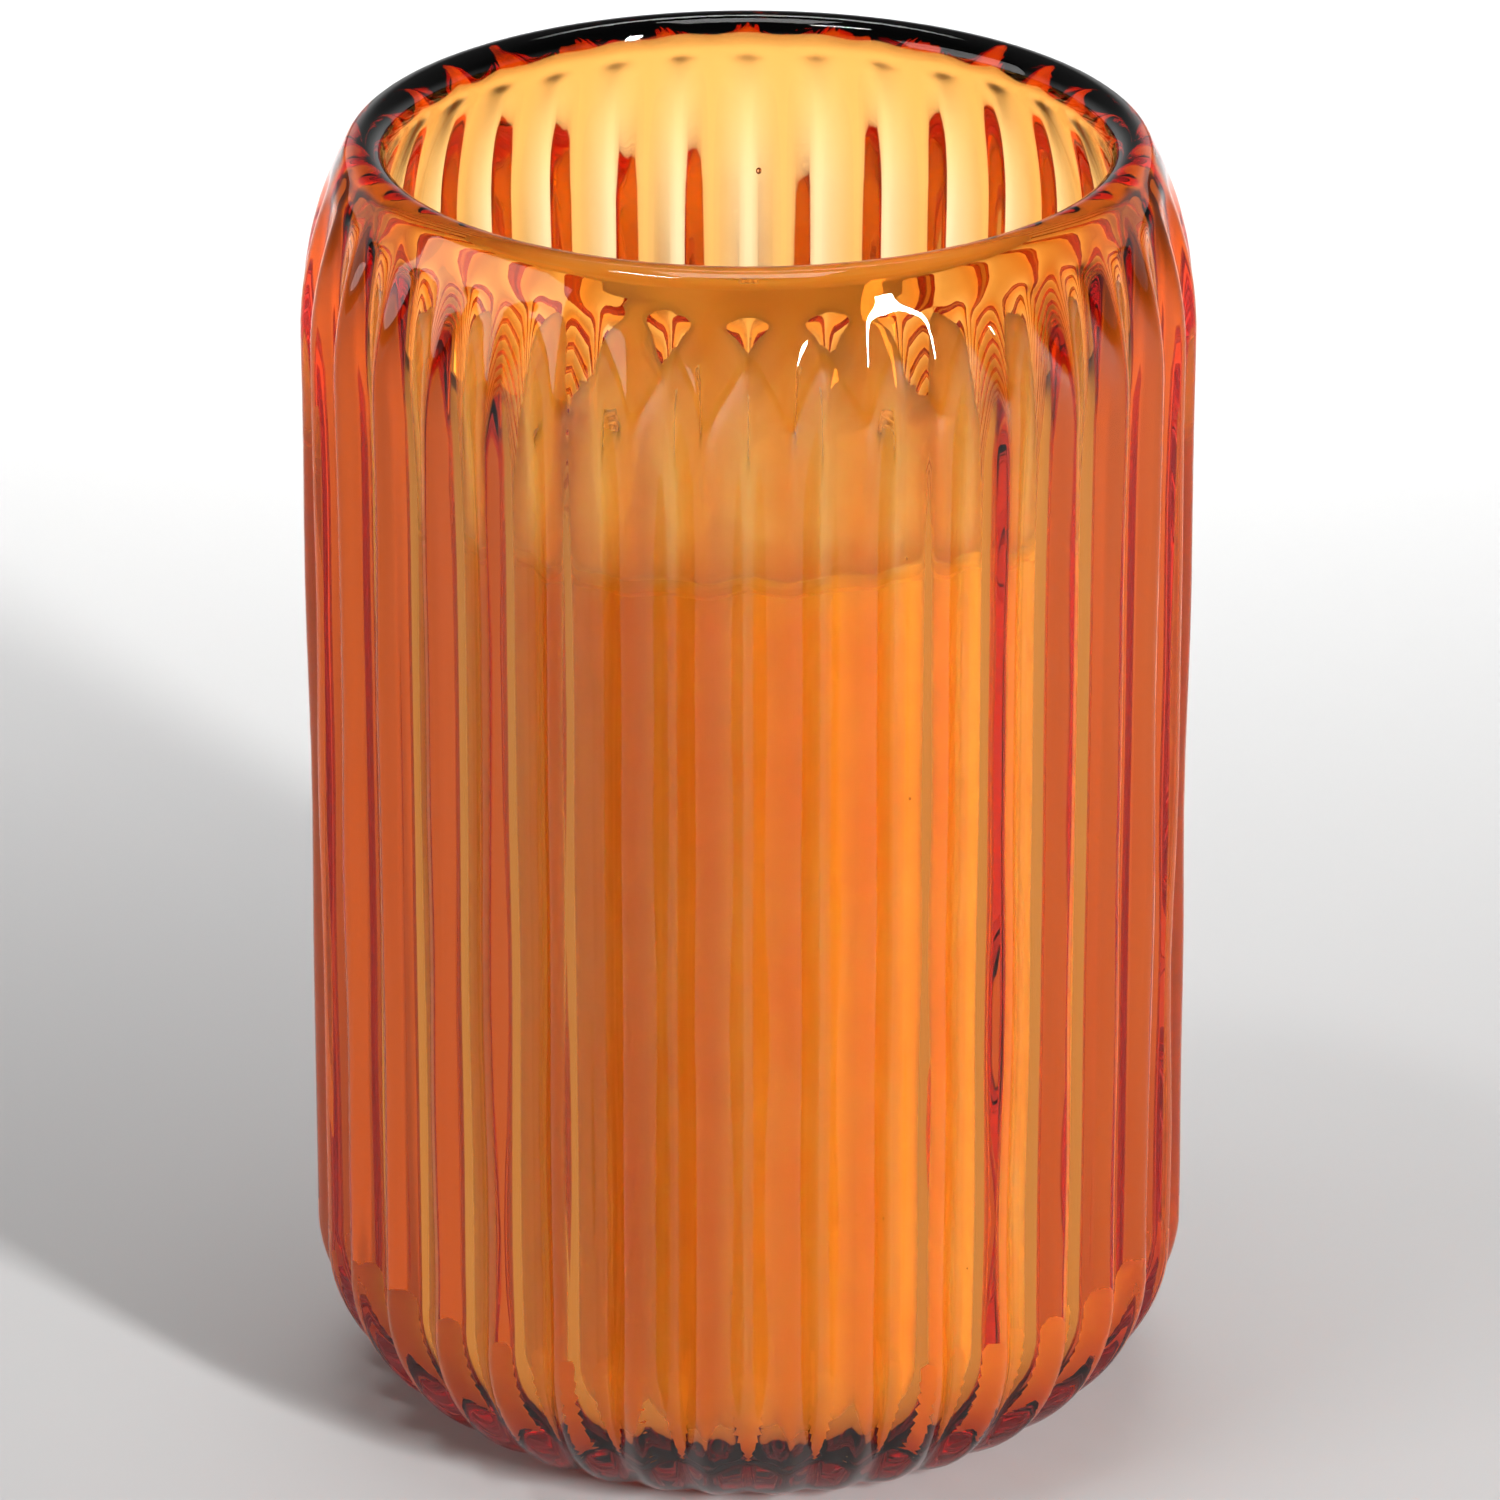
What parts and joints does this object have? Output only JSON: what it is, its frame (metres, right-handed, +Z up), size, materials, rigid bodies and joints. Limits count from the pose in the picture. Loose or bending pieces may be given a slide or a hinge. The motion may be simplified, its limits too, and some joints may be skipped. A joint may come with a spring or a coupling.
{
  "type": "filled candle in a fluted glass",
  "caption": "Round amber glass vessel with vertical flutes, a rounded heel and shoulder, a plain lip and a thick flat base, filled with pale wax around one cotton wick.",
  "frame": {"origin": "centre of the foot, on the plane the vessel stands on", "axes": "+Z up along the vessel's axis towards the mouth; -Y is the side that faces the viewer, and a valley between two flutes lies on it"},
  "size_m": [0.0996, 0.0996, 0.151],
  "materials": {
    "amber_glass": "clear amber soda-lime glass, coloured through, glossy",
    "wax": "pale poured wax, satin, slightly mottled",
    "cotton": "braided cotton, primed with wax, unlit",
    "tinplate": "thin tinplate, satin",
    "foam_pad": "white double-sided foam adhesive, matt"
  },
  "bodies": {
    "root": {"glass_vessel": "amber_glass", "wax_fill": "wax", "wick": "cotton", "wick_sustainer": "tinplate", "sustainer_sticker": "foam_pad"}
  },
  "joints": []
}
